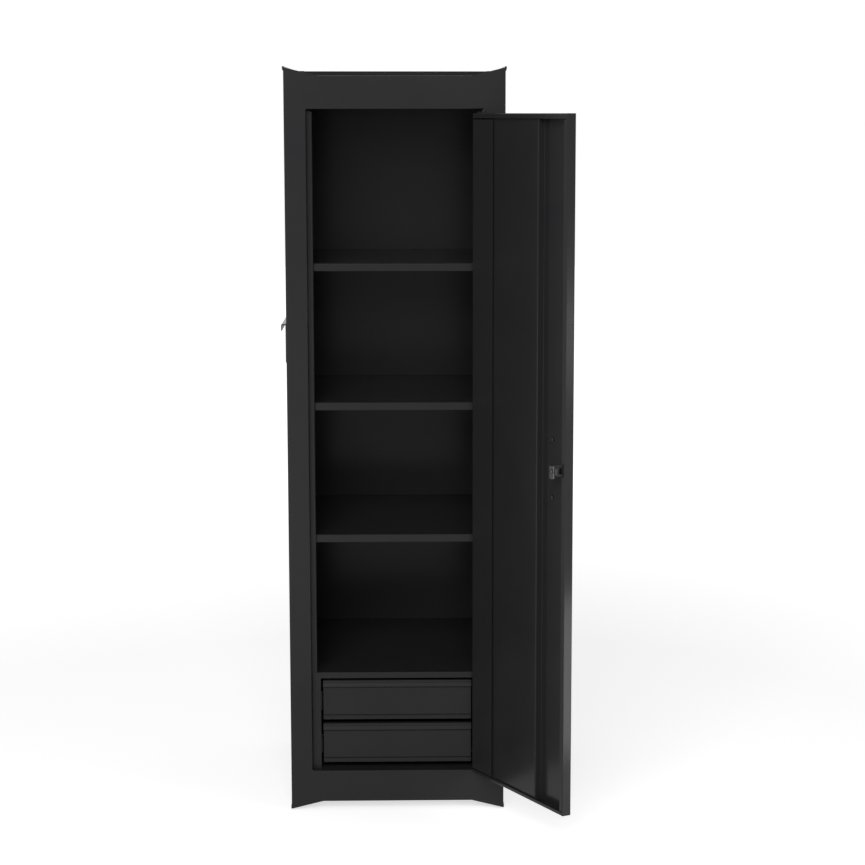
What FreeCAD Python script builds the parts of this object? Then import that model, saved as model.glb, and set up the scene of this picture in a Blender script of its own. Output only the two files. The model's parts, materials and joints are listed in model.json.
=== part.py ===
"""Tool chest side locker: a tall sheet-steel cabinet with an inset door, three shelves and two drawers.

Millimetres. The origin is the centre of the base on the floor, +Z is up, +X is to the right
and the front faces -Y. The locker stands with its door open and its drawers shut.
"""
import FreeCAD, Part
import math
import os

from FreeCAD import Vector

os.makedirs("parts", exist_ok=True)

UP = Vector(0, 0, 1)
RIGHT = Vector(1, 0, 0)
BACK = Vector(0, 1, 0)

# ---- Driving dimensions ----

# Carcass
width = 400.0
depth = 480.0
roof_level = 1366.5
top_tray_depth = 16.5
back_setdown = 0.5
carcass_sheet = 1.2
rear_flange = 15.0
base_flange = 25.0
base_flange_setback = 60.0
anchor_hole_diameter = 9.0
anchor_from_side = 13.0
anchor_from_end = 90.0
panel_flange = 12.0

# Front frame
frame_bottom = 17.0
stile_width = 40.0
bottom_rail_height = 59.0
top_rail_height = 59.5
gusset_width = 60.0
gusset_height = 14.8
frame_side_return = 12.0
roof_roll = 10.0
top_flare = 1.9
top_flare_height = 7.0
bottom_flare = 1.0
bottom_flare_height = 11.0
return_depth = 21.0
sill_depth = 27.0
stop_lip_width = 10.0
stop_fold_depth = 10.0
stop_lip_end_gap = 2.0
stop_lip_slant = 3.2
bend_radius = 1.0

# Door
door_rest_angle = 118.4
door_side_gap = 2.0
door_bottom_gap = 1.7
door_top_gap = 7.3
door_thickness = 18.5
door_sheet = 1.0
door_edge_radius = 2.0
door_lip = 9.0
door_bottom_lip = 6.3
door_hinge_lip = 71.0
door_lip_joint = 2.0
stiffener_start = 60.0
stiffener_end = 218.0
stiffener_height = 13.5
stiffener_slope = 0.3
stiffener_flange = 11.0
stiffener_sheet = 0.9
stiffener_end_gap = 2.2

# Hinge
pin_diameter = 3.2
pin_offset = 5.0
pin_to_opening = 0.4
knuckle_diameter = 7.2
knuckle_count = 25
knuckle_gap = 0.5
hinge_end_gap = 1.6
leaf_sheet = 0.8
leaf_width = 17.0
leaf_front_gap = 1.0
pin_clearance = 0.05

# Handle
handle_from_edge = 67.0
handle_height = 687.0
handle_screw_spacing = 102.0
handle_bar = 9.0
handle_reach = 30.0
handle_foot_diameter = 16.0
handle_foot_thickness = 3.0
handle_corner_radius = 11.0
handle_screw_diameter = 4.0
handle_screw_head_diameter = 9.0
handle_screw_head = 2.6

# Lock
lock_from_edge = 19.5
lock_height = 691.0
barrel_diameter = 20.0
barrel_flats = 16.0
barrel_head_diameter = 24.0
barrel_head = 3.0
plug_diameter = 9.0
plug_tail = 6.0
plug_clearance = 0.05
key_slot_width = 1.4
key_slot_height = 6.0
key_slot_depth = 8.0
nut_across_flats = 25.0
nut_thickness = 3.0
cam_thickness = 2.0
cam_width = 13.0
cam_reach = 13.5
cam_heel = 9.5
cam_gap = 0.3
cam_screw_head_diameter = 8.0
cam_screw_head = 2.2
cam_screw_diameter = 3.4

# Shelves and their standards
lower_shelf_level = 522.5
middle_shelf_level = 771.0
upper_shelf_level = 1028.0
shelf_sheet = 1.0
shelf_lip = 14.2
shelf_side_gap = 11.8
shelf_front_gap = 1.5
shelf_back_gap = 2.0
standard_width = 20.0
standard_depth = 8.0
standard_sheet = 1.0
standard_top_gap = 7.0
standard_bottom_gap = 9.0
front_standard = 70.0
rear_standard = 70.0
slot_width = 11.0
slot_height = 4.0
slot_below_clip = 2.5
slot_step = 25.0
clip_width = 14.0
clip_sheet = 1.5
clip_ledge = 14.8
clip_leg = 16.0
tongue_width = 10.0
tongue_height = 3.0
tongue_depth = 1.5

# Drawer housing
housing_sheet = 1.0
housing_lip = 11.2
housing_flange = 16.7
housing_flange_gap = 1.0
housing_top_side_gap = 10.8
housing_step_gap = 1.0

# Drawers
front_gap = 3.7
front_height = 76.5
gap_below_fronts = 9.3
gap_between_fronts = 7.0
gap_above_fronts = 4.7
front_sheet = 2.0
front_return = 9.0
front_return_sheet = 1.0
front_face_depth = 24.4
groove_height = 4.6
groove_depth = 1.8
groove_above_bottom = 5.6
box_height = 62.0
box_back_gap = 42.8
box_sheet = 0.9
box_above_front_bottom = 3.0
pull_height = 14.6
pull_band = 4.2
pull_tuck = 1.2
pull_tuck_height = 0.9
pull_sheet = 1.2
pull_reach = 4.2
pull_step = 1.0
pull_curl = 2.4
rivet_diameter = 4.0
rivet_head_diameter = 7.0
rivet_head = 1.0

# Drawer slides
slide_height = 35.0
slide_width = 12.7
slide_short_of_box = 10.0
slide_sheet = 1.2
slide_clearance = 0.3
slide_mouth = 2.7
slide_front_gap = 1.0
middle_web_offset = 5.2
middle_short_of_slide = 20.0
lever_length = 44.0
lever_height = 6.0
lever_thickness = 1.5
lever_pivot_diameter = 4.0
lever_pivot_clearance = 0.05
lever_from_front = 150.0
lever_rise = 1.0

# Hanging rail
rail_bottom = 848.0
rail_top = 919.0
rail_sheet = 1.6
rail_reach = 9.5
rail_lip = 12.5
rail_front_gap = 8.0
rail_back_gap = 32.0
rail_bolt_rise = 24.0
rail_bolt_diameter = 6.0
rail_bolt_head_diameter = 10.0
rail_bolt_head = 2.6
rail_bolt_from_end = 62.0
rail_bolt_count = 3
rail_nut_across_flats = 10.0
rail_nut_thickness = 5.0
bolt_clearance = 0.1

# ---- Places worked out from them ----

half_width = width / 2
front = -depth / 2
back = depth / 2
inner_side = half_width - carcass_sheet
inner_back = back - carcass_sheet
frame_top = roof_level
side_height = roof_level + top_tray_depth
back_height = side_height - back_setdown
opening_half_width = half_width - stile_width
opening_bottom = frame_bottom + bottom_rail_height
opening_top = frame_top - top_rail_height
stop_face = front + return_depth
fold_end = stop_face + stop_fold_depth
door_half_width = opening_half_width - door_side_gap
door_bottom = opening_bottom + door_bottom_gap
door_top = opening_top - door_top_gap
door_inner = front + door_thickness
pan_floor = front + door_sheet
pin_x = opening_half_width - pin_to_opening
pin_y = front - pin_offset
lock_x = -door_half_width + lock_from_edge
handle_x = -door_half_width + handle_from_edge
shelf_levels = {"lower": lower_shelf_level, "middle": middle_shelf_level, "upper": upper_shelf_level}
shelf_half_width = inner_side - shelf_side_gap
shelf_front = fold_end + shelf_front_gap
housing_half_width = opening_half_width - housing_flange
front_half_width = housing_half_width - front_gap
front_face = front + front_face_depth
front_back = front_face + front_sheet
lower_front_bottom = opening_bottom + gap_below_fronts
upper_front_bottom = lower_front_bottom + front_height + gap_between_fronts
front_bottoms = {"lower": lower_front_bottom, "upper": upper_front_bottom}
housing_top_level = upper_front_bottom + front_height + gap_above_fronts + housing_lip
box_half_width = housing_half_width - slide_width
box_depth = inner_back - box_back_gap - front_back
slide_start = front_face + front_return + slide_front_gap
slide_length = front_back + box_depth - slide_start - slide_short_of_box
middle_length = slide_length - middle_short_of_slide
rail_bolt_level = rail_bottom + rail_bolt_rise


# ---- Shapes ----

def box(low, high):
    """A box between two opposite corners."""
    size = [high[i] - low[i] for i in range(3)]
    return Part.makeBox(size[0], size[1], size[2], Vector(*low))


def cylinder(diameter, start, direction, length):
    """A round bar from a point along a direction."""
    return Part.makeCylinder(diameter / 2, length, Vector(*start), direction)


def hexagon(across_flats, start, direction, length):
    """A hexagonal bar along X or Y, with two flats facing up and down."""
    radius = across_flats / math.cos(math.radians(30)) / 2
    points = []
    for corner in range(7):
        angle = math.radians(60 * corner)
        across = radius * math.cos(angle)
        if abs(direction.y) > abs(direction.x):
            points.append(Vector(start[0] + across, start[1], start[2] + radius * math.sin(angle)))
        else:
            points.append(Vector(start[0], start[1] + across, start[2] + radius * math.sin(angle)))
    return Part.Face(Part.makePolygon(points)).extrude(direction * length)


def prism(points, direction, length):
    """A flat outline of 3-D points, pushed along a direction."""
    return Part.Face(Part.makePolygon([Vector(*p) for p in points + points[:1]])).extrude(direction * length)


def folded(path, sheet, radius):
    """The section of a bent sheet in the XY plane. The path is its right-hand side, and the
    metal lies to the path's left. Each bend has the given inside radius."""
    points = [Vector(x, y, 0) for x, y in path]
    ways = [(b - a).normalize() for a, b in zip(points, points[1:])]
    lefts = [Vector(-way.y, way.x, 0) for way in ways]

    def side(offset):
        edges = []
        start = points[0] + lefts[0] * offset
        for i in range(1, len(points) - 1):
            turn = ways[i - 1].cross(ways[i]).z
            half_turn = math.acos(max(-1.0, min(1.0, ways[i - 1].dot(ways[i])))) / 2
            corner = points[i] + (lefts[i - 1] + lefts[i]) * (offset / (1 + lefts[i - 1].dot(lefts[i])))
            on_the_inside = (turn > 0) == (offset > 0)
            bend = radius if on_the_inside else radius + sheet
            reach = bend * math.tan(half_turn)
            first = corner - ways[i - 1] * reach
            last = corner + ways[i] * reach
            middle_way = (ways[i] - ways[i - 1]).normalize()
            middle = corner + middle_way * (bend / math.cos(half_turn) - bend)
            edges.append(Part.LineSegment(start, first).toShape())
            edges.append(Part.Arc(first, middle, last).toShape())
            start = last
        end = points[-1] + lefts[-1] * offset
        edges.append(Part.LineSegment(start, end).toShape())
        return edges, end

    right, right_end = side(0.0)
    left, left_end = side(sheet)
    ends = [Part.LineSegment(points[0], points[0] + lefts[0] * sheet).toShape(),
            Part.LineSegment(right_end, left_end).toShape()]
    return Part.Face(Part.Wire(Part.__sortEdges__(right + left + ends)))


def upright(path, sheet, bottom, top, radius=bend_radius):
    """A bent sheet that stands up: its path is a plan view, in x and y."""
    shape = folded(path, sheet, radius).extrude(UP * (top - bottom))
    shape.translate(UP * bottom)
    return shape


def lengthwise(path, sheet, start, end, radius=bend_radius):
    """A bent sheet that runs from front to back: its path is a front view, in x and z."""
    shape = folded(path, sheet, radius).extrude(UP * (end - start))
    shape.rotate(Vector(0, 0, 0), RIGHT, 90)
    shape.translate(BACK * end)
    return shape


def crosswise(path, sheet, start, end, radius=bend_radius):
    """A bent sheet that runs from left to right: its path is a side view, in y and z."""
    shape = folded(path, sheet, radius).extrude(UP * (end - start))
    shape.rotate(Vector(0, 0, 0), Vector(1, 1, 1), 120)
    shape.translate(RIGHT * start)
    return shape


def round_edges(shape, radius, chosen):
    """Round the edges that the chosen test picks by their two ends."""
    edges = [e for e in shape.Edges if chosen(e.Vertexes[0].Point, e.Vertexes[-1].Point)]
    return shape.makeFillet(radius, edges)


def mirrored(shape):
    """The same piece on the other side of the locker's middle."""
    return shape.mirror(Vector(0, 0, 0), RIGHT)


def swung_open(shape):
    """A piece of the door, turned from shut to where the door stands open."""
    turned = shape.copy()
    turned.rotate(Vector(pin_x, pin_y, 0), UP, door_rest_angle)
    return turned


def save(name, shape):
    shape.exportStep("parts/" + name + ".step")


# ---- Carcass ----

def side_panel():
    """The left side, bent in at the back, with a base flange that has the floor anchor holes."""
    panel = upright([(-half_width + bend_radius + carcass_sheet + rear_flange, inner_back),
                     (-half_width, inner_back), (-half_width, front + frame_side_return)],
                    carcass_sheet, 0, side_height)
    flange = box((-inner_side - carcass_sheet / 2, front + base_flange_setback, 0),
                 (-inner_side + base_flange, inner_back - carcass_sheet, carcass_sheet))
    panel = panel.fuse(flange).removeSplitter()
    for side in (-1, 1):
        hole = (-half_width + anchor_from_side, side * (back - anchor_from_end), -1)
        panel = panel.cut(cylinder(anchor_hole_diameter, hole, UP, carcass_sheet + 2))
    return panel


def rail_bolt_places():
    first = front + rail_front_gap + rail_bolt_from_end
    last = back - rail_back_gap - rail_bolt_from_end
    return [first + i * (last - first) / (rail_bolt_count - 1) for i in range(rail_bolt_count)]


def bolt_hole(y):
    return cylinder(rail_bolt_diameter + 2 * bolt_clearance, (-half_width - rail_reach, y, rail_bolt_level),
                    RIGHT, 2 * rail_reach)


plain_side = side_panel()
left_side = plain_side
for place in rail_bolt_places():
    left_side = left_side.cut(bolt_hole(place))
save("left_side_panel", left_side)
save("right_side_panel", mirrored(plain_side))

save("back_panel", box((-half_width, inner_back, 0), (half_width, back, back_height)))


def level_panel(top, start, end):
    """A level panel between the sides, with a flange turned down along each side."""
    path = [(inner_side, top - panel_flange), (inner_side, top), (-inner_side, top),
            (-inner_side, top - panel_flange)]
    return lengthwise(path, carcass_sheet, start, end)


panel_end = inner_back - carcass_sheet
roof = level_panel(frame_top, front + carcass_sheet, panel_end)
roll_half_width = half_width - gusset_width
roof = roof.cut(box((-roll_half_width, front, frame_top - panel_flange),
                    (roll_half_width, front + roof_roll, frame_top + 1)))
save("roof_panel", roof)
save("floor_panel", level_panel(opening_bottom, front + sill_depth, panel_end))


# ---- Front frame ----

def rail_wing(straight_edge, opening_edge, tip, flare, flare_height, flare_end):
    """The rail's right end: a gusset, wrapped round the locker's side, with a flared tip."""
    inner = half_width - gusset_width
    up = 1 if opening_edge < straight_edge else -1
    clear = opening_edge + up * (bend_radius + carcass_sheet)
    outline = [(inner, clear), (opening_half_width, clear), (opening_half_width, opening_edge),
               (half_width, opening_edge), (half_width, tip), (inner, straight_edge)]
    block = prism([(x, front, z) for x, z in outline], BACK, frame_side_return)
    block = round_edges(block, bend_radius + carcass_sheet,
                        lambda a, b: abs(a.y - front) < 0.01 and abs(b.y - front) < 0.01
                        and abs(a.x - half_width) < 0.01 and abs(b.x - half_width) < 0.01)
    low = min(opening_edge, tip) - 1
    high = max(opening_edge, tip) + 1
    hollow = round_edges(box((inner - 1, front + carcass_sheet, low),
                             (inner_side, front + frame_side_return + 1, high)), bend_radius,
                         lambda a, b: abs(a.y - front - carcass_sheet) < 0.01
                         and abs(b.y - front - carcass_sheet) < 0.01
                         and abs(a.x - inner_side) < 0.01 and abs(b.x - inner_side) < 0.01)
    tip_outline = [(inner_side, tip - up * flare_height), (half_width, tip - up * flare_height),
                   (half_width + flare, tip - up * flare_height / 2), (half_width + flare, flare_end),
                   (inner_side, flare_end)]
    start = front + bend_radius + carcass_sheet
    flared = prism([(x, start, z) for x, z in tip_outline], BACK, front + frame_side_return - start)
    return block.cut(hollow).fuse(flared)


def frame_rail(section, lip_section, straight_edge, opening_edge, tip, flare, flare_height, flare_end):
    """A rail whose middle has the whole section, with a wing at each end past the middle."""
    middle_half = half_width - gusset_width
    middle = crosswise(section, carcass_sheet, -middle_half, middle_half)
    wing = rail_wing(straight_edge, opening_edge, tip, flare, flare_height, flare_end)
    lip = crosswise(lip_section, carcass_sheet, middle_half, opening_half_width)
    wing = wing.fuse(lip)
    return middle.fuse([wing, mirrored(wing)]).removeSplitter()


bend = bend_radius + carcass_sheet
top_section = [(front + roof_roll, frame_top), (front, frame_top), (front, opening_top),
               (stop_face, opening_top)]
top_lip = [(front, opening_top + bend + 1), (front, opening_top), (stop_face, opening_top)]
save("frame_top_rail", frame_rail(top_section, top_lip, frame_top, opening_top, frame_top + gusset_height,
                                  top_flare, top_flare_height, side_height))

sill_back = front + sill_depth
bottom_section = [(sill_back, opening_bottom), (front, opening_bottom), (front, frame_bottom)]
bottom_lip = [(sill_back, opening_bottom), (front, opening_bottom), (front, opening_bottom - bend - 1)]
save("frame_bottom_rail", frame_rail(bottom_section, bottom_lip, frame_bottom, opening_bottom,
                                     frame_bottom - gusset_height, bottom_flare, bottom_flare_height,
                                     frame_bottom - gusset_height))

stop_edge = opening_half_width - stop_lip_width
stile = upright([(-half_width, front + frame_side_return), (-half_width, front),
                 (-opening_half_width, front), (-opening_half_width, stop_face),
                 (-stop_edge, stop_face), (-stop_edge, fold_end)],
                carcass_sheet, opening_bottom, opening_top)
slant_top = opening_top - stop_lip_end_gap
slant = [(-opening_half_width - carcass_sheet, slant_top), (-opening_half_width, slant_top),
         (-stop_edge, slant_top - stop_lip_slant), (-stop_edge + 1, slant_top - stop_lip_slant),
         (-stop_edge + 1, opening_top + 1), (-opening_half_width - carcass_sheet, opening_top + 1)]
stile = stile.cut(prism([(x, stop_face - bend_radius, z) for x, z in slant], BACK, stop_fold_depth + 5))
save("frame_left_stile", stile)
save("frame_right_stile", mirrored(stile))


# ---- Shelves ----

def shelf(level):
    """A pressed tray upside down: a flat top with a lip down all round."""
    low = (-shelf_half_width, shelf_front, level - shelf_lip)
    high = (shelf_half_width, inner_back - shelf_back_gap, level)
    outside = round_edges(box(low, high), bend_radius + shelf_sheet,
                          lambda a, b: abs(a.z - level) < 0.01 and abs(b.z - level) < 0.01)
    low = (low[0] + shelf_sheet, low[1] + shelf_sheet, low[2])
    high = (high[0] - shelf_sheet, high[1] - shelf_sheet, level - shelf_sheet)
    return outside.cut(box(low, high))


def slot_levels():
    """Each shelf has a slot at its level, and one a step above and one a step below."""
    return [level - shelf_lip + step * slot_step for level in shelf_levels.values() for step in (-1, 0, 1)]


def slotted_standard(y):
    """A slotted channel up the left side, which the shelf clips hook into."""
    face = -inner_side + standard_depth
    low = housing_top_level + standard_bottom_gap
    high = opening_top - standard_top_gap
    half = standard_width / 2
    channel = upright([(-inner_side, y - half), (face, y - half), (face, y + half), (-inner_side, y + half)],
                      standard_sheet, low, high, radius=standard_sheet / 2)
    for level in slot_levels():
        top = level - slot_below_clip
        channel = channel.cut(box((face - 2 * standard_sheet, y - slot_width / 2, top - slot_height),
                                  (face + standard_sheet, y + slot_width / 2, top)))
    return channel


def clip(y, level):
    """A clip on the left side: a ledge for the shelf, a leg, and a tongue through the slot."""
    face = -inner_side + standard_depth
    ledge = box((face, y - clip_width / 2, level - clip_sheet), (face + clip_ledge, y + clip_width / 2, level))
    leg = box((face, y - clip_width / 2, level - clip_leg), (face + clip_sheet, y + clip_width / 2, level))
    gap = (slot_height - tongue_height) / 2
    top = level - slot_below_clip - gap
    tongue = box((face - standard_sheet - tongue_depth, y - tongue_width / 2, top - tongue_height),
                 (face + clip_sheet / 2, y + tongue_width / 2, top))
    return ledge.fuse([leg, tongue]).removeSplitter()


clips = []
for row, y in (("front", front + front_standard), ("rear", back - rear_standard)):
    upright_channel = slotted_standard(y)
    save("shelf_standard_" + row + "_left", upright_channel)
    save("shelf_standard_" + row + "_right", mirrored(upright_channel))
    for level in shelf_levels.values():
        one = clip(y, level - shelf_lip)
        clips += [one, mirrored(one)]
save("shelf_clips", Part.makeCompound(clips))

for name, level in shelf_levels.items():
    save(name + "_shelf", shelf(level))


# ---- Drawer housing ----

housing_front = stop_face - housing_sheet
flange_edge = opening_half_width - housing_flange_gap
top_half_width = inner_side - housing_top_side_gap
neck = stop_edge - housing_step_gap
wide_from = fold_end + housing_step_gap
plate_z = housing_top_level - housing_sheet
plate = prism([(-neck, housing_front, plate_z), (neck, housing_front, plate_z), (neck, wide_from, plate_z),
               (top_half_width, wide_from, plate_z), (top_half_width, panel_end, plate_z),
               (-top_half_width, panel_end, plate_z), (-top_half_width, wide_from, plate_z),
               (-neck, wide_from, plate_z)], UP, housing_sheet)
plate_lip = box((-flange_edge, housing_front, housing_top_level - housing_lip),
                (flange_edge, stop_face, housing_top_level))
save("housing_top", plate.fuse(plate_lip).removeSplitter())

wall = upright([(-flange_edge, housing_front), (-housing_half_width, housing_front),
                (-housing_half_width, inner_back)],
               housing_sheet, opening_bottom, housing_top_level - housing_lip, radius=housing_sheet / 2)
wall_top = box((-housing_half_width - housing_sheet, stop_face, housing_top_level - housing_lip - 1),
               (-housing_half_width, inner_back, plate_z))
wall = wall.fuse(wall_top).removeSplitter()
save("housing_left_wall", wall)
save("housing_right_wall", mirrored(wall))


# ---- Hanging rail ----

rail_y = front + rail_front_gap
outer_face = -half_width - rail_sheet
hook_x = -half_width - rail_reach
hanging_rail = lengthwise([(-half_width, rail_bottom), (-half_width, rail_top), (hook_x, rail_top),
                           (hook_x, rail_top - rail_lip)],
                          rail_sheet, rail_y, back - rail_back_gap)
bolts = []
nuts = []
for place in rail_bolt_places():
    hanging_rail = hanging_rail.cut(bolt_hole(place))
    head = cylinder(rail_bolt_head_diameter, (outer_face - rail_bolt_head, place, rail_bolt_level),
                    RIGHT, rail_bolt_head)
    shank_length = rail_sheet + carcass_sheet + rail_nut_thickness + rail_bolt_head
    shank = cylinder(rail_bolt_diameter, (outer_face - rail_bolt_head / 2, place, rail_bolt_level),
                     RIGHT, shank_length)
    bolts.append(head.fuse(shank).removeSplitter())
    nut = hexagon(rail_nut_across_flats, (-inner_side, place, rail_bolt_level), RIGHT, rail_nut_thickness)
    nuts.append(nut.cut(bolt_hole(place)))
save("hanging_rail", hanging_rail)
save("hanging_rail_bolts", Part.makeCompound(bolts))
save("hanging_rail_nuts", Part.makeCompound(nuts))


# ---- Hinge ----

hinge_bottom = opening_bottom + hinge_end_gap
hinge_length = opening_top - hinge_end_gap - hinge_bottom
knuckle_length = hinge_length / knuckle_count


def hinge_leaf(face, low_end, high_end, owned):
    """A leaf whose face is its -X side, with a knuckle round the pin at each place that it owns."""
    leaf = box((face, front - leaf_front_gap, low_end),
               (face + leaf_sheet, front - leaf_front_gap + leaf_width, high_end))
    bore = cylinder(pin_diameter + 2 * pin_clearance, (pin_x, pin_y, hinge_bottom - 1), UP, hinge_length + 2)
    pieces = []
    for place in owned:
        low = hinge_bottom + place * knuckle_length + knuckle_gap / 2
        high = low + knuckle_length - knuckle_gap
        knuckle = cylinder(knuckle_diameter, (pin_x, pin_y, low), UP, high - low)
        neck_piece = box((face, pin_y, low), (face + leaf_sheet, front - leaf_front_gap / 2, high))
        pieces += [knuckle, neck_piece]
    return leaf.fuse(pieces).removeSplitter().cut(bore)


frame_leaf = hinge_leaf(opening_half_width - leaf_sheet, hinge_bottom, hinge_bottom + hinge_length,
                        range(0, knuckle_count, 2))
door_leaf = hinge_leaf(door_half_width, door_bottom, door_top, range(1, knuckle_count, 2))
save("hinge_frame_leaf", frame_leaf)
save("hinge_door_leaf", swung_open(door_leaf))
save("hinge_pin", cylinder(pin_diameter, (pin_x, pin_y, hinge_bottom), UP, hinge_length))


# ---- Door ----

def on_the_edges(a, b):
    """Edges along the outer face and along the lips, which are bends in the sheet."""
    return abs(a.y - b.y) < 0.01


def door_tray():
    """The outer skin with a flange back all round, and a lip turned in from each flange. The side
    lips stop a little short of the top and bottom ones."""
    outside = round_edges(box((-door_half_width, front, door_bottom), (door_half_width, door_inner, door_top)),
                          door_edge_radius, on_the_edges)
    hollow = round_edges(box((-door_half_width + door_sheet, pan_floor, door_bottom + door_sheet),
                             (door_half_width - door_sheet, door_inner - door_sheet, door_top - door_sheet)),
                         door_edge_radius - door_sheet, on_the_edges)
    behind = front + door_thickness / 2
    mouth = box((-door_half_width + door_lip, behind, door_bottom + door_bottom_lip),
                (door_half_width - door_hinge_lip, door_inner + 1, door_top - door_lip))
    tray = outside.cut(hollow).cut(mouth)
    for joint in (door_bottom + door_bottom_lip, door_top - door_lip - door_lip_joint):
        tray = tray.cut(box((-door_half_width + door_edge_radius, behind, joint),
                            (door_half_width - door_edge_radius, door_inner + 1, joint + door_lip_joint)))
    return tray


def barrel_bar(clearance, start, length):
    """The barrel's body, round with two flats that face along the door."""
    bar = cylinder(barrel_diameter + 2 * clearance, (lock_x, start, lock_height), BACK, length)
    half = barrel_flats / 2 + clearance
    return bar.common(box((lock_x - half, start, lock_height - barrel_diameter),
                          (lock_x + half, start + length, lock_height + barrel_diameter)))


def handle_screw_places():
    return [(handle_x, handle_height + side * handle_screw_spacing / 2) for side in (-1, 1)]


tray = door_tray()
for x, z in handle_screw_places():
    tray = tray.cut(cylinder(handle_screw_diameter + 2 * bolt_clearance, (x, front - 1, z), BACK, 4))
tray = tray.cut(barrel_bar(bolt_clearance, front - 1, 4))
save("door_tray", swung_open(tray))

hat_base = pan_floor
hat_face = pan_floor + stiffener_height
hinge_edge = door_half_width
hat_path = [(hinge_edge - stiffener_end - stiffener_flange, hat_base + stiffener_sheet),
            (hinge_edge - stiffener_end, hat_base + stiffener_sheet),
            (hinge_edge - stiffener_end + stiffener_slope, hat_face),
            (hinge_edge - stiffener_start - stiffener_slope, hat_face),
            (hinge_edge - stiffener_start, hat_base + stiffener_sheet),
            (hinge_edge - stiffener_start + stiffener_flange, hat_base + stiffener_sheet)]
stiffener = upright([(x, y - stiffener_sheet) for x, y in hat_path], stiffener_sheet,
                    door_bottom + stiffener_end_gap, door_top - stiffener_end_gap)
save("door_stiffener", swung_open(stiffener))


# ---- Handle ----

def handle():
    """A round bow with a disc foot at each end, tapped for its screws from inside the door."""
    low, high = [z for _, z in handle_screw_places()]
    bar_y = front - handle_reach + handle_bar / 2
    turn = handle_corner_radius
    slant = turn * (1 - math.cos(math.radians(45)))
    path = Part.Wire([
        Part.LineSegment(Vector(handle_x, front, low), Vector(handle_x, bar_y + turn, low)).toShape(),
        Part.Arc(Vector(handle_x, bar_y + turn, low), Vector(handle_x, bar_y + slant, low + slant),
                 Vector(handle_x, bar_y, low + turn)).toShape(),
        Part.LineSegment(Vector(handle_x, bar_y, low + turn), Vector(handle_x, bar_y, high - turn)).toShape(),
        Part.Arc(Vector(handle_x, bar_y, high - turn), Vector(handle_x, bar_y + slant, high - slant),
                 Vector(handle_x, bar_y + turn, high)).toShape(),
        Part.LineSegment(Vector(handle_x, bar_y + turn, high), Vector(handle_x, front, high)).toShape()])
    circle = Part.makeCircle(handle_bar / 2, Vector(handle_x, front, low), BACK)
    bow = path.makePipeShell([Part.Wire(circle)], True, True)
    feet = [cylinder(handle_foot_diameter, (handle_x, front - handle_foot_thickness, z), BACK,
                     handle_foot_thickness) for z in (low, high)]
    bow = bow.fuse(feet).removeSplitter()
    for z in (low, high):
        bow = bow.cut(cylinder(handle_screw_diameter + 2 * bolt_clearance,
                               (handle_x, front - handle_reach / 2, z), BACK, handle_reach))
    return bow


save("door_handle", swung_open(handle()))

handle_screws = []
for x, z in handle_screw_places():
    screw = cylinder(handle_screw_head_diameter, (x, pan_floor, z), BACK, handle_screw_head)
    length = door_sheet + handle_reach / 3 + handle_screw_head / 2
    shank_start = (x, pan_floor + handle_screw_head / 2, z)
    screw = screw.fuse(cylinder(handle_screw_diameter, shank_start, -BACK, length))
    handle_screws.append(screw.removeSplitter())
save("door_handle_screws", swung_open(Part.makeCompound(handle_screws)))


# ---- Lock ----

cam_front = fold_end + cam_gap
barrel_end = cam_front - cam_gap
bore_diameter = plug_diameter + 2 * plug_clearance
barrel = cylinder(barrel_head_diameter, (lock_x, front - barrel_head, lock_height), BACK, barrel_head)
body_start = front - barrel_head / 2
barrel = barrel.fuse(barrel_bar(0, body_start, barrel_end - body_start)).removeSplitter()
barrel = barrel.cut(cylinder(bore_diameter, (lock_x, front - barrel_head - 1, lock_height), BACK,
                             barrel_end - front + barrel_head + 2))
save("lock_barrel", swung_open(barrel))

nut = hexagon(nut_across_flats, (lock_x, pan_floor, lock_height), BACK, nut_thickness)
nut = nut.cut(cylinder(barrel_diameter + 2 * bolt_clearance, (lock_x, pan_floor - 1, lock_height), BACK,
                       nut_thickness + 2))
save("lock_nut", swung_open(nut))

cam_back = cam_front + cam_thickness
plug = cylinder(plug_diameter, (lock_x, front - barrel_head, lock_height), BACK,
                cam_front - front + barrel_head)
tail = box((lock_x - plug_tail / 2, cam_front - 1, lock_height - plug_tail / 2),
           (lock_x + plug_tail / 2, cam_back, lock_height + plug_tail / 2))
key_slot = box((lock_x - key_slot_width / 2, front - barrel_head - 1, lock_height - key_slot_height / 2),
               (lock_x + key_slot_width / 2, front - barrel_head + key_slot_depth,
                lock_height + key_slot_height / 2))
screw_hole = cylinder(cam_screw_diameter + 2 * plug_clearance, (lock_x, cam_back - plug_tail * 2, lock_height),
                      BACK, plug_tail * 2 + 1)
save("lock_plug", swung_open(plug.fuse(tail).removeSplitter().cut(key_slot).cut(screw_hole)))


def cam_plate():
    """The cam at rest, unlocked: its long end points down, with a rounded tip, and its heel up."""
    half = cam_width / 2
    low = (lock_x - half, cam_front, lock_height - cam_reach)
    high = (lock_x + half, cam_back, lock_height + cam_heel)
    plate = round_edges(box(low, high), half * 0.5,
                        lambda a, b: abs(a.z - low[2]) < 0.01 and abs(b.z - low[2]) < 0.01
                        and abs(a.x - b.x) < 0.01)
    hole = plug_tail / 2 + plug_clearance
    return plate.cut(box((lock_x - hole, cam_front - 1, lock_height - hole),
                         (lock_x + hole, cam_back + 1, lock_height + hole)))


save("lock_cam", swung_open(cam_plate()))

cam_screw = cylinder(cam_screw_head_diameter, (lock_x, cam_back, lock_height), BACK, cam_screw_head)
cam_screw = cam_screw.fuse(cylinder(cam_screw_diameter, (lock_x, cam_back - plug_tail, lock_height), BACK,
                                    plug_tail + cam_screw_head / 2))
save("lock_cam_screw", swung_open(cam_screw.removeSplitter()))


# ---- Drawers ----

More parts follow.
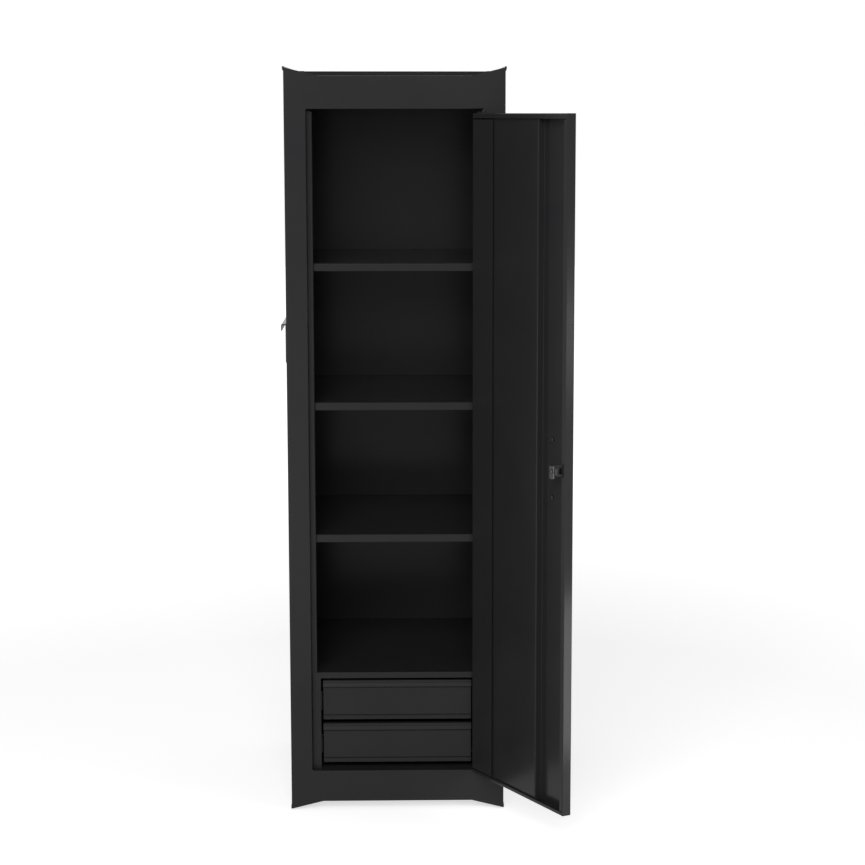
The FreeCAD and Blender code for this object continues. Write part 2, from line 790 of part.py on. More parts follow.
def drawer_front(bottom):
    """A pressed front with a return on every side, and a groove above its lower edge."""
    top = bottom + front_height
    outside = round_edges(box((-front_half_width, front_face, bottom),
                              (front_half_width, front_face + front_return, top)), bend_radius,
                          lambda a, b: abs(a.y - front_face) < 0.01 and abs(b.y - front_face) < 0.01)
    hollow = box((-front_half_width + front_return_sheet, front_back, bottom + front_return_sheet),
                 (front_half_width - front_return_sheet, front_face + front_return + 1,
                  top - front_return_sheet))
    low = bottom + groove_above_bottom
    groove = prism([(-front_half_width - 1, y, z) for y, z in
                    ((front_face, low), (front_face + groove_depth, low + groove_height / 2),
                     (front_face, low + groove_height))], RIGHT, 2 * front_half_width + 2)
    return outside.cut(hollow).cut(groove)


def drawer_pull(bottom):
    """A strip along the top of the front: a flat band, a tuck in, a slope outwards, and a curl
    back for the fingers."""
    top = bottom + front_height
    face = front_face - pull_reach
    step = face + pull_step
    path = [(front_face, top), (step, top), (step, top - pull_band),
            (step + pull_tuck, top - pull_band - pull_tuck_height),
            (face, top - pull_height + pull_curl), (face + pull_curl, top - pull_height)]
    strip = crosswise(path, pull_sheet, -front_half_width, front_half_width, radius=pull_sheet / 4)
    root = box((-front_half_width, step + pull_sheet / 2, top - pull_height / 3),
               (front_half_width, front_face, top - pull_sheet / 2))
    return strip.fuse(root).removeSplitter()


def drawer_box(bottom):
    """An open tray of thin sheet behind the front."""
    low = (-box_half_width, front_back, bottom)
    high = (box_half_width, front_back + box_depth, bottom + box_height)
    hollow = box((low[0] + box_sheet, low[1] + box_sheet, low[2] + box_sheet),
                 (high[0] - box_sheet, high[1] - box_sheet, high[2] + 1))
    return box(low, high).cut(hollow)


def rivet_places(bottom):
    return [(side * box_half_width * 0.75, bottom + share * box_height) for side in (-1, 1)
            for share in (0.3, 0.7)]


def rivet_holes(shape, bottom):
    for x, z in rivet_places(bottom):
        shape = shape.cut(cylinder(rivet_diameter + 2 * bolt_clearance,
                                   (x, front_face + groove_depth, z), BACK, 5))
    return shape


def rivets(bottom):
    """Blind rivets through the box's front wall into the back of the drawer front."""
    made = []
    inside = front_back + box_sheet
    for x, z in rivet_places(bottom):
        head = cylinder(rivet_head_diameter, (x, inside, z), BACK, rivet_head)
        shank = cylinder(rivet_diameter, (x, front_face + groove_depth, z), BACK,
                         inside - front_face - groove_depth + rivet_head / 2)
        made.append(head.fuse(shank).removeSplitter())
    return Part.makeCompound(made)


def channel(web, mouth, half_height, level, length):
    """A slide member: an upright web with a flange above and below, open towards its mouth."""
    way = 1 if mouth > web else -1
    start = slide_start
    outer = box((min(web, mouth), start, level - half_height), (max(web, mouth), start + length,
                                                               level + half_height))
    hollow = box((min(web + way * slide_sheet, mouth + way), start - 1, level - half_height + slide_sheet),
                 (max(web + way * slide_sheet, mouth + way), start + length + 1,
                  level + half_height - slide_sheet))
    return outer.cut(hollow)


def slide_members(level):
    """The left slide's three members: fixed to the housing, floating, and fixed to the drawer box."""
    wall_x = -housing_half_width
    box_x = -box_half_width
    half = slide_height / 2
    step = slide_sheet + slide_clearance
    outer = channel(wall_x, box_x - slide_mouth, half, level, slide_length)
    middle = channel(wall_x + middle_web_offset, box_x - slide_mouth / 2, half - step, level, middle_length)
    inner = channel(box_x, wall_x + middle_web_offset + step, half - 2 * step, level, slide_length)
    return outer, middle, inner


def lever_pivot(level):
    return (-box_half_width - slide_sheet, front_back + lever_from_front, level + lever_rise)


def release_lever(level):
    """A plastic lever on a stub of the drawer member: it frees the drawer from its slide."""
    x, y, z = lever_pivot(level)
    outer_x = x - slide_clearance
    body = box((outer_x - lever_thickness, y, z - lever_height / 2),
               (outer_x, y + lever_length, z + lever_height / 2))
    eye = cylinder(lever_height + 2.5, (outer_x - lever_thickness, y, z), RIGHT, lever_thickness)
    hole = cylinder(lever_pivot_diameter, (outer_x - lever_thickness - 1, y, z), RIGHT, lever_thickness + 2)
    return body.fuse(eye).removeSplitter().cut(hole)


def lever_stub(level):
    x, y, z = lever_pivot(level)
    length = slide_sheet / 2 + slide_clearance + lever_thickness + slide_clearance
    diameter = lever_pivot_diameter - 2 * lever_pivot_clearance
    return cylinder(diameter, (x + slide_sheet / 2, y, z), -RIGHT, length)


for name, bottom in front_bottoms.items():
    box_bottom = bottom + box_above_front_bottom
    slide_level = box_bottom + box_height / 2
    save(name + "_drawer_front", rivet_holes(drawer_front(bottom), box_bottom))
    save(name + "_drawer_pull", drawer_pull(bottom))
    save(name + "_drawer_box", rivet_holes(drawer_box(box_bottom), box_bottom))
    save(name + "_drawer_rivets", rivets(box_bottom))
    outer, middle, inner = slide_members(slide_level)
    inner = inner.fuse(lever_stub(slide_level)).removeSplitter()
    save(name + "_slide_outer", Part.makeCompound([outer, mirrored(outer)]))
    save(name + "_slide_middle", Part.makeCompound([middle, mirrored(middle)]))
    save(name + "_slide_inner", Part.makeCompound([inner, mirrored(inner)]))
    lever = release_lever(slide_level)
    save(name + "_left_release_lever", lever)
    save(name + "_right_release_lever", mirrored(lever))
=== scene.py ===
import json
import math

import bmesh
import bpy
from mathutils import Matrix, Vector


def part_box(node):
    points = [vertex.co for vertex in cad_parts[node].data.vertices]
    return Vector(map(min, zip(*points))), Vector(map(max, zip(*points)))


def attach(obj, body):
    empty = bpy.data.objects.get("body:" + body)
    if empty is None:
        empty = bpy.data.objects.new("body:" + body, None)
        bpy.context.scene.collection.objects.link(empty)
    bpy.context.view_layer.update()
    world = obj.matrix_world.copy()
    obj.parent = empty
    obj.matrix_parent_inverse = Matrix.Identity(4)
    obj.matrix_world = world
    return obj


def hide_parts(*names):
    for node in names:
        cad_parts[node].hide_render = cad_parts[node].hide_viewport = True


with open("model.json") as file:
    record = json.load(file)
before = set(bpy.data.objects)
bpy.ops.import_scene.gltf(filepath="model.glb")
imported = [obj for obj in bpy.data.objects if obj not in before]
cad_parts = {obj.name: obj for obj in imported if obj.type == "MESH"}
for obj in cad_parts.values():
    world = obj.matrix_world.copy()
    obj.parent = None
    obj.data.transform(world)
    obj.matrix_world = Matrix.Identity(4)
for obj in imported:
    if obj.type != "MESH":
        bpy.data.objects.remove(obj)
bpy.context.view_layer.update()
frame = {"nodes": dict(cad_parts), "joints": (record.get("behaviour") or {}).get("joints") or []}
nodes = frame["nodes"]

# ---- Camera ----
# The locker is seen from the front at chest height, a little over four metres away, with a long
# lens that looks slightly down and to the right. The focal length and the lens's axis are in
# pixels of a frame that is this wide and as high.
frame_width = 865
focal_length = 2255.0
lens_axis_x = 458.8
lens_axis_y = 473.9
eye = (0.01815, -4.3525, 1.3001)
downward_degrees = 9.094
rightward_radians = 0.02366
camera_data = bpy.data.cameras.new("camera")
camera_data.sensor_width = 36.0
camera_data.lens = focal_length / frame_width * camera_data.sensor_width
camera_data.shift_x = (frame_width / 2 - lens_axis_x) / frame_width
camera_data.shift_y = (lens_axis_y - frame_width / 2) / frame_width
camera_data.clip_end = 60.0
camera = bpy.data.objects.new("camera", camera_data)
camera.location = eye
camera.rotation_euler = (math.radians(90 - downward_degrees), 0.0, -rightward_radians)
bpy.context.scene.collection.objects.link(camera)
bpy.context.scene.camera = camera


# ---- Cabinet: side, back, roof and floor panels, front frame, shelves, housing ----
# Folded and spot-welded cold-rolled steel sheet, about 1 mm thick, sprayed with black polyester
# powder and baked after welding. The coat is one unbroken film over folds and welds.

def srgb(hex_colour):
    """An sRGB hex colour as the linear colour that a shader takes."""
    channels = [int(hex_colour[i:i + 2], 16) / 255 for i in (1, 3, 5)]
    linear = [c / 12.92 if c <= 0.04045 else ((c + 0.055) / 1.055) ** 2.4 for c in channels]
    return (*linear, 1.0)


def add(material, kind, inputs, **settings):
    """Add one shader node, with its settings, and its inputs as plain values or links."""
    node = material.node_tree.nodes.new("ShaderNode" + kind)
    for name, value in settings.items():
        setattr(node, name, value)
    for name, value in inputs.items():
        if isinstance(value, bpy.types.NodeSocket):
            material.node_tree.links.new(value, node.inputs[name])
        else:
            node.inputs[name].default_value = value
    return node


def finish_named(name):
    """A new, empty material with its shader, ready for its pattern."""
    material = bpy.data.materials.new(name)
    material.use_nodes = True
    return material, material.node_tree.nodes["Principled BSDF"]


def link(material, socket, shader, name):
    """Link a pattern to one of the shader's inputs."""
    material.node_tree.links.new(socket, shader.inputs[name])


def per_metre(millimetres):
    """A texture scale that gives features of about this size."""
    return 1000.0 / millimetres


def dress(piece, material):
    """Give a piece this finish alone."""
    piece.data.materials.clear()
    piece.data.materials.append(material)


def coat(material, *names):
    """Give CAD nodes a finish."""
    for name in names:
        dress(nodes[name], material)


# Black polyester powder coat. The eye sees a deep neutral black with a soft sheen that turns to
# a mirror at a low angle. Its tone and sheen drift faintly over 90 mm, with the film's thickness.
# The orange peel of a real coat is 1 to 2 mm across, too fine to show here, so it is drawn at 4 mm.
powder_black, shader = finish_named("black_powder_coat")
place = add(powder_black, "TexCoord", {}).outputs["Object"]
film = add(powder_black, "TexNoise", {"Vector": place, "Scale": per_metre(90.0), "Detail": 3.0,
                                      "Roughness": 0.5})
tone = add(powder_black, "Mix", {"Factor": film.outputs["Fac"], "A": srgb("#28282a"), "B": srgb("#2d2d2e")},
           data_type="RGBA")
gloss = add(powder_black, "MapRange", {"Value": film.outputs["Fac"], "From Min": 0.3, "From Max": 0.7,
                                       "To Min": 0.18, "To Max": 0.22})
peel = add(powder_black, "TexNoise", {"Vector": place, "Scale": per_metre(4.0), "Detail": 1.0})
relief = add(powder_black, "Bump", {"Height": peel.outputs["Fac"], "Strength": 0.10, "Distance": 0.0002})
link(powder_black, tone.outputs["Result"], shader, "Base Color")
link(powder_black, gloss.outputs["Result"], shader, "Roughness")
link(powder_black, relief.outputs["Normal"], shader, "Normal")
shader.inputs["IOR"].default_value = 1.2

coat(powder_black, "left_side_panel", "right_side_panel", "back_panel", "roof_panel", "floor_panel",
     "frame_top_rail", "frame_bottom_rail", "frame_left_stile", "frame_right_stile",
     "upper_shelf", "middle_shelf", "lower_shelf",
     "shelf_standard_front_left", "shelf_standard_front_right",
     "shelf_standard_rear_left", "shelf_standard_rear_right",
     "housing_top", "housing_left_wall", "housing_right_wall", "hanging_rail")

# ---- Shelf clips, rail nuts and hinge pin ----
# Pressed clips that hook into the slotted standards, plain hexagonal nuts inside the wall and the
# hinge's wire pin. They are mild steel, zinc plated in a barrel and passivated clear.
#
# Bright zinc plate: the eye sees a cool grey metal, softly blurred by the plating bath, with a
# faint cloud of lighter and darker patches about 6 mm wide.
zinc, shader = finish_named("zinc_plated_steel")
place = add(zinc, "TexCoord", {}).outputs["Object"]
cloud = add(zinc, "TexNoise", {"Vector": place, "Scale": per_metre(6.0), "Detail": 2.0})
tone = add(zinc, "Mix", {"Factor": cloud.outputs["Fac"], "A": srgb("#929394"), "B": srgb("#a6a7a6")},
           data_type="RGBA")
gloss = add(zinc, "MapRange", {"Value": cloud.outputs["Fac"], "From Min": 0.3, "From Max": 0.7,
                               "To Min": 0.22, "To Max": 0.32})
link(zinc, tone.outputs["Result"], shader, "Base Color")
link(zinc, gloss.outputs["Result"], shader, "Roughness")
shader.inputs["Metallic"].default_value = 1.0
coat(zinc, "shelf_clips", "hanging_rail_nuts", "hinge_pin")

# ---- Hanging rail's bolts ----
# Three M6 button-head socket screws of zinc-plated steel, put through the rail and the side wall
# from outside. The heads are turned to a low dome and have a hexagonal socket for a 4 mm key.


def put_down():
    """Leave edit mode and select nothing."""
    if bpy.context.object and bpy.context.object.mode == "EDIT":
        bpy.ops.object.mode_set(mode="OBJECT")
    bpy.ops.object.select_all(action="DESELECT")


def alone(piece):
    """Leave only this piece selected, ready for an operator."""
    put_down()
    piece.select_set(True)
    bpy.context.view_layer.objects.active = piece


def pick_faces(chosen):
    """In edit mode, select the faces whose middle and normal pass a test."""
    bpy.ops.mesh.select_mode(type="FACE")
    bpy.ops.mesh.select_all(action="DESELECT")
    mesh = bmesh.from_edit_mesh(bpy.context.object.data)
    for face in mesh.faces:
        face.select_set(chosen(face.calc_center_median(), face.normal))
    mesh.select_flush_mode()
    bmesh.update_edit_mesh(bpy.context.object.data)


def pick_top():
    """In edit mode, select the flat faces that look up."""
    pick_faces(lambda middle, normal: normal.z > 0.9)


def pick_underside():
    """In edit mode, select the flat faces that look down."""
    pick_faces(lambda middle, normal: normal.z < -0.9)


def draw_up(height):
    """In edit mode, draw the selected faces up by a height, or down by one below zero."""
    bpy.ops.mesh.extrude_region_move(TRANSFORM_OT_translate={"value": (0.0, 0.0, height)})


def turned_bar(name, radius, low, high, sides=48):
    """A round bar along Z between two levels, in edit mode, where the shaping starts."""
    put_down()
    bpy.ops.mesh.primitive_cylinder_add(vertices=sides, radius=radius, depth=high - low,
                                        location=(0.0, 0.0, (low + high) / 2))
    bar = bpy.context.object
    bar.name = name
    bpy.ops.object.transform_apply(location=True, rotation=True, scale=True)
    bpy.ops.object.mode_set(mode="EDIT")
    return bar


def add_shank(radius, head_radius, length):
    """Draw a shank down from the underside of a head, in edit mode."""
    pick_underside()
    bpy.ops.mesh.inset(thickness=head_radius - radius)
    draw_up(-length)


def round_rim(roundness, segments):
    """Round the rim of the highest flat face, in edit mode."""
    pick_top()
    bpy.ops.mesh.region_to_loop()
    bpy.ops.mesh.bevel(offset=roundness, segments=segments, affect="EDGES")


def cut_with(piece, cutter):
    """Take a cutter's shape out of a piece, and delete the cutter."""
    alone(piece)
    cut = piece.modifiers.new("cut", "BOOLEAN")
    cut.operation = "DIFFERENCE"
    cut.solver = "EXACT"
    cut.object = cutter
    bpy.ops.object.modifier_apply(modifier="cut")
    bpy.data.objects.remove(cutter)


def settle(piece, turn, place):
    """Turn a finished piece and bring it to its place, with the place in its mesh."""
    alone(piece)
    piece.rotation_euler = turn
    piece.location = place
    bpy.ops.object.transform_apply(location=True, rotation=True, scale=True)


def copy_to(piece, turn, place):
    """Another copy of a piece with its own mesh, turned and put in its place."""
    other = piece.copy()
    other.data = piece.data.copy()
    bpy.context.scene.collection.objects.link(other)
    settle(other, turn, place)
    return other


def join_as(name, pieces):
    """Join like pieces into one, smooth its round faces and keep its edges."""
    alone(pieces[0])
    for piece in pieces:
        piece.select_set(True)
    if len(pieces) > 1:
        bpy.ops.object.join()
    whole = bpy.context.object
    whole.name = name
    bpy.ops.object.shade_smooth_by_angle(angle=math.radians(35))
    return whole


bolt_head_radius = 0.005
bolt_head = 0.0026
bolt_dome = 0.0022
bolt_shank_radius = 0.003
socket_across_flats = 0.004
socket_depth = 0.0016
overrun = 0.001  # how far a cutter stands past the face that it cuts
low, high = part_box("hanging_rail_bolts")
bolt = turned_bar("rail_bolt", bolt_head_radius, 0.0, bolt_head)
round_rim(bolt_dome, 6)
add_shank(bolt_shank_radius, bolt_head_radius, high.x - low.x - bolt_head)
cutter = turned_bar("hex_key", socket_across_flats / 2 / math.cos(math.radians(30)),
                    bolt_head - socket_depth, bolt_head + overrun, sides=6)
cut_with(bolt, cutter)
outward = (0.0, math.radians(-90), 0.0)
first, last = low.y + bolt_head_radius, high.y - bolt_head_radius
bolts = [copy_to(bolt, outward, (low.x + bolt_head, y, (low.z + high.z) / 2))
         for y in (first, (first + last) / 2, last)]
bpy.data.objects.remove(bolt)
rail_bolts = join_as("rail_button_bolts", bolts)
dress(rail_bolts, zinc)
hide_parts("hanging_rail_bolts")
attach(rail_bolts, "cabinet")

# ---- Drawers ----
# Each drawer is a folded steel box with a pressed front and a pull strip rolled over its top
# edge, coated like the cabinet. The two are held together by blind rivets.
coat(powder_black, "upper_drawer_front", "upper_drawer_pull", "upper_drawer_box",
     "lower_drawer_front", "lower_drawer_pull", "lower_drawer_box")

rivet_head_radius = 0.0035
rivet_head = 0.001
rivet_dome = 0.0009
rivet_shank_radius = 0.002
mandrel_radius = 0.0011
mandrel_depth = 0.0006
low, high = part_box("upper_drawer_rivets")
rivet = turned_bar("rivet", rivet_head_radius, 0.0, rivet_head, sides=32)
round_rim(rivet_dome, 5)
pick_top()
bpy.ops.mesh.inset(thickness=rivet_head_radius - rivet_dome - mandrel_radius)
draw_up(-mandrel_depth)
add_shank(rivet_shank_radius, rivet_head_radius, high.y - low.y - rivet_head)
bpy.ops.object.mode_set(mode="OBJECT")
backward = (math.radians(-90), 0.0, 0.0)
for drawer in ("upper", "lower"):
    low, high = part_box(drawer + "_drawer_rivets")
    rivets = [copy_to(rivet, backward, (x, high.y - rivet_head, z))
              for x in (low.x + rivet_head_radius, high.x - rivet_head_radius)
              for z in (low.z + rivet_head_radius, high.z - rivet_head_radius)]
    rivets = join_as(drawer + "_drawer_blind_rivets", rivets)
    dress(rivets, zinc)
    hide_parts(drawer + "_drawer_rivets")
    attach(rivets, drawer + "_drawer")
bpy.data.objects.remove(rivet)

# ---- Drawer slides ----
# Three-part slides of cold-rolled steel, one part fixed to the housing, one floating and one fixed
# to the drawer's box. They are blacked and lightly oiled, and their near-black also paints the
# shade in the narrow gaps beside the fronts, where their ends show.
#
# Black-oxide steel: nearly black, with a dull sheen from the oil on it, in faint clouds about
# 12 mm wide. The near-black is partly painted shade for the gaps beside the fronts.
slide_black, shader = finish_named("black_oxide_steel_and_gap_shade")
place = add(slide_black, "TexCoord", {}).outputs["Object"]
cloud = add(slide_black, "TexNoise", {"Vector": place, "Scale": per_metre(12.0), "Detail": 3.0})
tone = add(slide_black, "Mix", {"Factor": cloud.outputs["Fac"], "A": srgb("#0d0d0e"), "B": srgb("#171717")},
           data_type="RGBA")
gloss = add(slide_black, "MapRange", {"Value": cloud.outputs["Fac"], "From Min": 0.3, "From Max": 0.7,
                                      "To Min": 0.38, "To Max": 0.5})
link(slide_black, tone.outputs["Result"], shader, "Base Color")
link(slide_black, gloss.outputs["Result"], shader, "Roughness")
coat(slide_black, "upper_slide_outer", "upper_slide_middle", "upper_slide_inner",
     "lower_slide_outer", "lower_slide_middle", "lower_slide_inner")

# ---- Release levers ----
# A thin acetal lever on a stub of each drawer's slide: an eye, an arm and a ribbed pad for the
# thumb. It is moulded in one piece and clipped on.
#
# Moulded acetal: dark grey with a fine spark-eroded grain, drawn at 1 mm, and no gloss.
moulded, shader = finish_named("black_moulded_acetal")
place = add(moulded, "TexCoord", {}).outputs["Object"]
grain = add(moulded, "TexNoise", {"Vector": place, "Scale": per_metre(1.0), "Detail": 2.0})
tone = add(moulded, "Mix", {"Factor": grain.outputs["Fac"], "A": srgb("#1a1a1b"), "B": srgb("#242425")},
           data_type="RGBA")
relief = add(moulded, "Bump", {"Height": grain.outputs["Fac"], "Strength": 0.3, "Distance": 0.00005})
link(moulded, tone.outputs["Result"], shader, "Base Color")
link(moulded, relief.outputs["Normal"], shader, "Normal")
shader.inputs["Roughness"].default_value = 0.55
shader.inputs["IOR"].default_value = 1.48

arm_height = 0.006
eye_diameter = 0.0085
pivot_diameter = 0.004
rib_count = 5
rib_pitch = 0.002
rib_width = 0.0009
rib_height = 0.0005
last_rib_to_end = 0.0015
low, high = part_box("upper_left_release_lever")
thickness = high.x - low.x
arm_length = high.y - low.y - eye_diameter / 2


def fuse_with(piece, other):
    """Grow a piece together with another, which is deleted."""
    alone(piece)
    weld = piece.modifiers.new("weld", "BOOLEAN")
    weld.operation = "UNION"
    weld.solver = "EXACT"
    weld.object = other
    bpy.ops.object.modifier_apply(modifier="weld")
    bpy.data.objects.remove(other)


def squared_bar(name, middle, size):
    """A rectangular bar, in edit mode, where the shaping starts."""
    put_down()
    bpy.ops.mesh.primitive_cube_add(size=1.0, location=middle, scale=size)
    bar = bpy.context.object
    bar.name = name
    bpy.ops.object.transform_apply(location=True, rotation=True, scale=True)
    bpy.ops.object.mode_set(mode="EDIT")
    return bar


lever = turned_bar("lever", eye_diameter / 2, 0.0, thickness)
arm = squared_bar("lever_arm", (0.0, arm_length / 2, thickness / 2), (arm_height, arm_length, thickness))
rib_ends = [arm_length - last_rib_to_end - rib * rib_pitch for rib in range(rib_count)]
for rib_end in rib_ends:
    for edge in (rib_end, rib_end - rib_width):
        bpy.ops.mesh.select_all(action="SELECT")
        bpy.ops.mesh.bisect(plane_co=(0.0, edge, 0.0), plane_no=(0.0, 1.0, 0.0))
pick_faces(lambda middle, normal: normal.z > 0.9 and any(
    rib_end - rib_width < middle.y < rib_end for rib_end in rib_ends))
draw_up(rib_height)
fuse_with(lever, arm)
cutter = turned_bar("stub", pivot_diameter / 2, -overrun, thickness + overrun, sides=32)
cut_with(lever, cutter)
for drawer in ("upper", "lower"):
    for side, turn in (("left", -90), ("right", 90)):
        node = drawer + "_" + side + "_release_lever"
        low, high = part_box(node)
        inner_face = high.x if side == "left" else low.x
        ribbed_lever = copy_to(lever, (0.0, math.radians(turn), 0.0),
                               (inner_face, low.y + eye_diameter / 2, (low.z + high.z) / 2))
        ribbed_lever = join_as(drawer + "_" + side + "_ribbed_lever", [ribbed_lever])
        dress(ribbed_lever, moulded)
        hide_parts(node)
        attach(ribbed_lever, drawer + "_" + side + "_lever")
bpy.data.objects.remove(lever)

# ---- Door ----
# A folded steel tray with a hat-section stiffener spot-welded inside it, hung on a continuous
# hinge whose leaves are coated with the door and the frame. Its bow handle has the same coat.
coat(powder_black, "door_tray", "door_stiffener", "hinge_door_leaf", "hinge_frame_leaf", "door_handle")

# ---- Handle screws ----
# Two M4 pan-head machine screws with a cross recess, put in from inside the door and tapped into
# the handle's feet. They are blacked like the lock.
#
# Black zinc alloy and steel: a deep black with a satin skin, mottled at 2 mm, that shows as a soft
# light spot on round faces.
lock_black, shader = finish_named("black_plated_zinc_alloy")
place = add(lock_black, "TexCoord", {}).outputs["Object"]
cast = add(lock_black, "TexNoise", {"Vector": place, "Scale": per_metre(2.0), "Detail": 2.0})
tone = add(lock_black, "Mix", {"Factor": cast.outputs["Fac"], "A": srgb("#060607"), "B": srgb("#0e0e10")},
           data_type="RGBA")
relief = add(lock_black, "Bump", {"Height": cast.outputs["Fac"], "Strength": 0.2, "Distance": 0.00003})
link(lock_black, tone.outputs["Result"], shader, "Base Color")
link(lock_black, relief.outputs["Normal"], shader, "Normal")
shader.inputs["Roughness"].default_value = 0.36

joints = {joint["name"]: joint for joint in frame["joints"]}
door_swing = math.radians(-joints["door_hinge"]["range_deg"][0])
inward = Vector((-math.sin(door_swing), math.cos(door_swing), 0.0))
on_the_door = (math.radians(90), 0.0, door_swing - math.pi)


def inner_end(name, low=-math.inf, high=math.inf):
    """The middle of a door piece's inmost face, for the part of it between two levels."""
    points = [vertex.co for vertex in nodes[name].data.vertices if low < vertex.co.z < high]
    inmost = max(point.dot(inward) for point in points)
    face = [point for point in points if math.isclose(point.dot(inward), inmost, abs_tol=1e-5)]
    return Vector([(min(p[i] for p in face) + max(p[i] for p in face)) / 2 for i in range(3)])


def length_inward(name):
    """How long a door piece is, square to the door."""
    reaches = [vertex.co.dot(inward) for vertex in nodes[name].data.vertices]
    return max(reaches) - min(reaches)


def cross_headed(name, head_radius, head_height, shank_radius, whole_length):
    """A pan-head screw that stands on its shank, with its head's top at level 0. The recess has
    four arms that narrow to its bottom, as a cross-point driver does."""
    head_roundness = head_height * 0.55
    recess_depth = head_height * 0.6
    arm_width = head_radius * 0.26
    arm_reach = head_radius * 0.5
    narrowing = 0.55
    screw = turned_bar(name, head_radius, -head_height, 0.0)
    round_rim(head_roundness, 5)
    add_shank(shank_radius, head_radius, whole_length - head_height)
    cutter = squared_bar("cross_point", (0.0, 0.0, 0.0), (arm_width, arm_width, 2 * recess_depth))
    pick_faces(lambda middle, normal: abs(normal.z) < 0.1)
    bpy.ops.mesh.extrude_faces_move(TRANSFORM_OT_shrink_fatten={"value": arm_reach})
    pick_underside()
    bpy.ops.transform.resize(value=(narrowing, narrowing, 1.0))
    cut_with(screw, cutter)
    return screw


handle_screw = cross_headed("handle_screw", head_radius=0.0045, head_height=0.0026, shank_radius=0.002,
                            whole_length=length_inward("door_handle_screws"))
low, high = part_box("door_handle_screws")
halfway = (low.z + high.z) / 2
handle_screws = [copy_to(handle_screw, on_the_door, inner_end("door_handle_screws", high=halfway)),
                 copy_to(handle_screw, on_the_door, inner_end("door_handle_screws", low=halfway))]
bpy.data.objects.remove(handle_screw)
handle_screws = join_as("handle_pan_screws", handle_screws)
dress(handle_screws, lock_black)
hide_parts("door_handle_screws")
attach(handle_screws, "door")

# ---- Lock ----
# A die-cast cam lock. Its black barrel is threaded all along, flattened on two sides so that it
# can't turn in the door, and held by a thin zinc-plated nut. The plug takes the key. The thread
# is drawn as rings, one to each pitch.
thread_pitch = 0.001
thread_depth = 0.0006
barrel_radius = 0.010
root_radius = barrel_radius - thread_depth
barrel_flats = 0.016
barrel_head_radius = 0.012
barrel_head = 0.003
barrel_head_roundness = 0.0012
bore_radius = 0.00455
lock_front = Vector(joints["lock_turn"]["pos_m"])
body_length = length_inward("lock_barrel") - barrel_head
whole_threads = round(body_length / thread_pitch) - 1
barrel = turned_bar("threaded_barrel", root_radius, -barrel_head / 2, thread_pitch / 2, sides=64)
for growth in [barrel_radius / root_radius, root_radius / barrel_radius] * whole_threads:
    pick_top()
    draw_up(thread_pitch / 2)
    bpy.ops.transform.resize(value=(growth, growth, 1.0))
pick_top()
draw_up(thread_pitch / 2)
for side in (-1, 1):
    bpy.ops.mesh.select_all(action="SELECT")
    bpy.ops.mesh.bisect(plane_co=(side * barrel_flats / 2, 0.0, 0.0), plane_no=(side, 0.0, 0.0),
                        clear_outer=True, use_fill=True)
rim = turned_bar("barrel_rim", barrel_head_radius, 0.0, barrel_head, sides=64)
round_rim(barrel_head_roundness, 4)
settle(rim, (math.pi, 0.0, 0.0), (0.0, 0.0, 0.0))
fuse_with(barrel, rim)
cutter = turned_bar("plug_bore", bore_radius, -2 * barrel_head, body_length + barrel_head)
cut_with(barrel, cutter)
settle(barrel, on_the_door, lock_front)
barrel = join_as("threaded_lock_barrel", [barrel])
dress(barrel, lock_black)
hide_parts("lock_barrel")
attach(barrel, "door")
coat(zinc, "lock_nut", "lock_plug")

# Black-nickel plated steel, on the cam and its screw: a dark grey metal whose sheen is uneven in
# patches about 5 mm wide, brighter where it faces the light. Its dark grey is partly the plating and
# partly painted shade, since the cam sits in shade inside the door.
dark_nickel_and_shade, shader = finish_named("black_nickel_and_painted_shade")
place = add(dark_nickel_and_shade, "TexCoord", {}).outputs["Object"]
cloud = add(dark_nickel_and_shade, "TexNoise", {"Vector": place, "Scale": per_metre(5.0), "Detail": 2.0})
tone = add(dark_nickel_and_shade, "Mix", {"Factor": cloud.outputs["Fac"], "A": srgb("#4c4d4e"), "B": srgb("#5a5b5c")},
           data_type="RGBA")
gloss = add(dark_nickel_and_shade, "MapRange", {"Value": cloud.outputs["Fac"], "From Min": 0.3, "From Max": 0.7,
                                      "To Min": 0.3, "To Max": 0.4})
link(dark_nickel_and_shade, tone.outputs["Result"], shader, "Base Color")
link(dark_nickel_and_shade, gloss.outputs["Result"], shader, "Roughness")
shader.inputs["Metallic"].default_value = 1.0
coat(dark_nickel_and_shade, "lock_cam")

cam_screw = cross_headed("cam_screw", head_radius=0.004, head_height=0.0022, shank_radius=0.0017,
                         whole_length=length_inward("lock_cam_screw"))
settle(cam_screw, on_the_door, inner_end("lock_cam_screw"))
cam_screw = join_as("cam_pan_screw", [cam_screw])
dress(cam_screw, dark_nickel_and_shade)
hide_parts("lock_cam_screw")
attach(cam_screw, "lock_core")

# ---- Studio ----
# A plain pale floor that runs out into a white surround, two large soft lamps above the front, and
# small ones low in front and at the right. None of it is part of the locker. The floor's white is
# seen by the eye and in reflections, but casts no light, and it is dimmer where the shadow lies.
floor_width = 30.0
shadow_radius = 1.2
white_radius = 4.0
white_by_the_shadow = 0.66
light_of_the_surround = 0.25
put_down()
bpy.ops.mesh.primitive_plane_add(size=floor_width, location=(0.0, 0.0, 0.0))
floor = bpy.context.object
floor.name = "studio_floor"
floor_finish, shader = finish_named("pale_studio_floor")
shader.inputs["Base Color"].default_value = srgb("#e6e6e6")
shader.inputs["Roughness"].default_value = 0.9
shader.inputs["Specular IOR Level"].default_value = 0.0
ray = add(floor_finish, "LightPath", {})
seen = add(floor_finish, "Math", {0: ray.outputs["Is Camera Ray"], 1: ray.outputs["Is Glossy Ray"]},
           operation="MAXIMUM")
place = add(floor_finish, "TexCoord", {}).outputs["Object"]
distance = add(floor_finish, "VectorMath", {0: place}, operation="LENGTH")
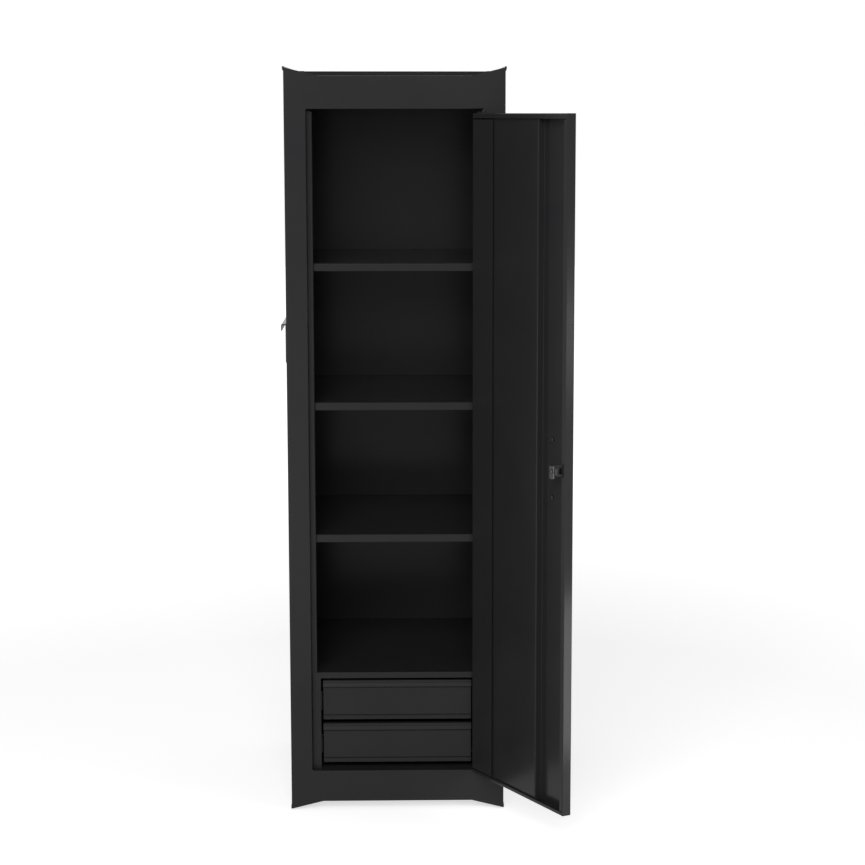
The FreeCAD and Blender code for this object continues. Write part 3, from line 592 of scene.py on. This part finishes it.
level = add(floor_finish, "MapRange", {"Value": distance.outputs["Value"],
                                       "From Min": shadow_radius, "From Max": white_radius,
                                       "To Min": white_by_the_shadow, "To Max": 1.0})
level = add(floor_finish, "Math", {0: seen.outputs[0], 1: level.outputs["Result"]}, operation="MULTIPLY")
glow = add(floor_finish, "Emission", {"Color": (1.0, 1.0, 1.0, 1.0), "Strength": level.outputs[0]})
both = add(floor_finish, "AddShader", {0: shader.outputs[0], 1: glow.outputs[0]})
floor_finish.node_tree.links.new(both.outputs[0],
                                 floor_finish.node_tree.nodes["Material Output"].inputs["Surface"])
floor.data.materials.append(floor_finish)

world = bpy.data.worlds.new("studio_surround")
world.use_nodes = True
bpy.context.scene.world = world
surround = world.node_tree.nodes["Background"]
ray = add(world, "LightPath", {})
seen = add(world, "Math", {0: ray.outputs["Is Camera Ray"], 1: ray.outputs["Is Glossy Ray"]},
           operation="MAXIMUM")
seen = add(world, "Math", {0: seen.outputs[0], 1: ray.outputs["Is Transmission Ray"]}, operation="MAXIMUM")
level = add(world, "MapRange", {"Value": seen.outputs[0], "To Min": light_of_the_surround, "To Max": 1.0})
surround.inputs["Color"].default_value = (1.0, 1.0, 1.0, 1.0)
world.node_tree.links.new(level.outputs["Result"], surround.inputs["Strength"])


def soft_lamp(name, location, target, width, height, power, mirrored=True):
    """A soft box that faces a point. One that isn't mirrored leaves no glare on the gloss."""
    lamp = bpy.data.lights.new(name, "AREA")
    lamp.shape = "RECTANGLE"
    lamp.size = width
    lamp.size_y = height
    lamp.energy = power
    holder = bpy.data.objects.new(name, lamp)
    holder.location = location
    aim = Vector(target) - Vector(location)
    holder.rotation_euler = aim.to_track_quat("-Z", "Y").to_euler()
    holder.visible_camera = False
    holder.visible_glossy = mirrored
    bpy.context.scene.collection.objects.link(holder)


soft_lamp("front_lamp", location=(-0.5, -4.2, 2.6), target=(0.0, 0.0, 0.7),
          width=2.2, height=2.0, power=14.0)
soft_lamp("front_fill_lamp", location=(-0.5, -4.2, 2.7), target=(0.0, 0.0, 0.8),
          width=2.2, height=2.0, power=84.0, mirrored=False)
soft_lamp("low_front_lamp", location=(-0.9, -2.6, 0.45), target=(-0.05, -0.24, 0.0),
          width=0.8, height=0.6, power=4.8)
soft_lamp("right_lamp", location=(2.15, -1.74, 0.71), target=(0.31, -0.53, 0.93),
          width=0.8, height=0.2, power=4.6)
soft_lamp("low_right_lamp", location=(0.73, -0.81, 0.2), target=(0.31, -0.53, 0.2),
          width=0.25, height=0.32, power=2.0)
bpy.context.scene.view_settings.view_transform = "Standard"
